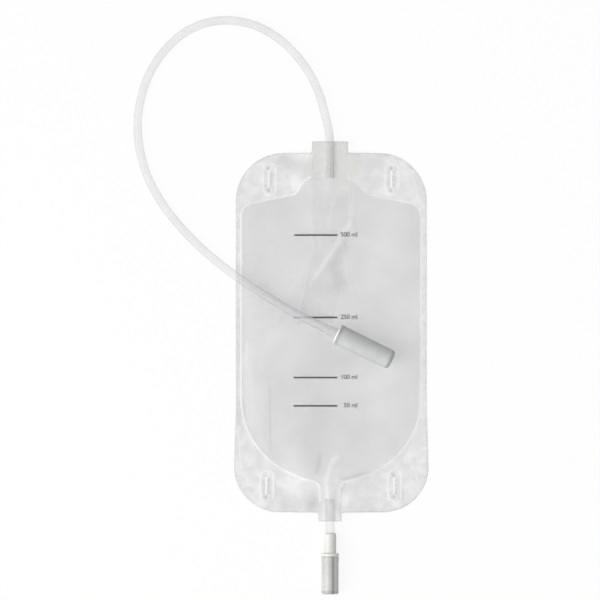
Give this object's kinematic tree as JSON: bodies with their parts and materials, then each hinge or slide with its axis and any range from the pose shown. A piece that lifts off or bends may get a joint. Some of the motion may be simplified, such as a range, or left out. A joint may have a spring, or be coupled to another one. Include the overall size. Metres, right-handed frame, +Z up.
{
  "type": "urine drainage bag",
  "caption": "Flat film leg bag with a long looped inlet tube, capped stepped connector, strap slots, volume marks and a capped outlet spout.",
  "frame": {"origin": "on the floor under the middle of the bag with its outlet, the free tube and its connector left out", "axes": "+Z up out of the printed front, with the bag on its back; +Y from the outlet to the inlet; +X to the right of the print"},
  "size_m": [0.2051, 0.404, 0.0195],
  "materials": {
    "film": "clear soft film, satin, slightly milky",
    "valve_film": "thin clear film",
    "tube": "clear soft tubing, slightly milky",
    "connector": "milky moulded plastic",
    "cap": "pale grey moulded plastic, satin",
    "print": "dark grey screen print"
  },
  "bodies": {
    "bag": {"front_film": "film", "back_film": "film", "valve_front_film": "valve_film", "valve_back_film": "valve_film", "inlet_tube": "tube", "inlet_connector": "connector", "outlet_tube": "tube", "outlet_spout": "connector"},
    "connector_cap": {"connector_cap": "cap"},
    "outlet_cap": {"outlet_cap": "cap"}
  },
  "joints": [
    {"name": "connector_cap_pull", "type": "slide", "parent": "bag", "child": "connector_cap", "axis": [0.9003, -0.4352, 0], "range_m": [0, 0.044]},
    {"name": "outlet_cap_pull", "type": "slide", "parent": "bag", "child": "outlet_cap", "axis": [0, -1, 0], "range_m": [0, 0.027]}
  ]
}
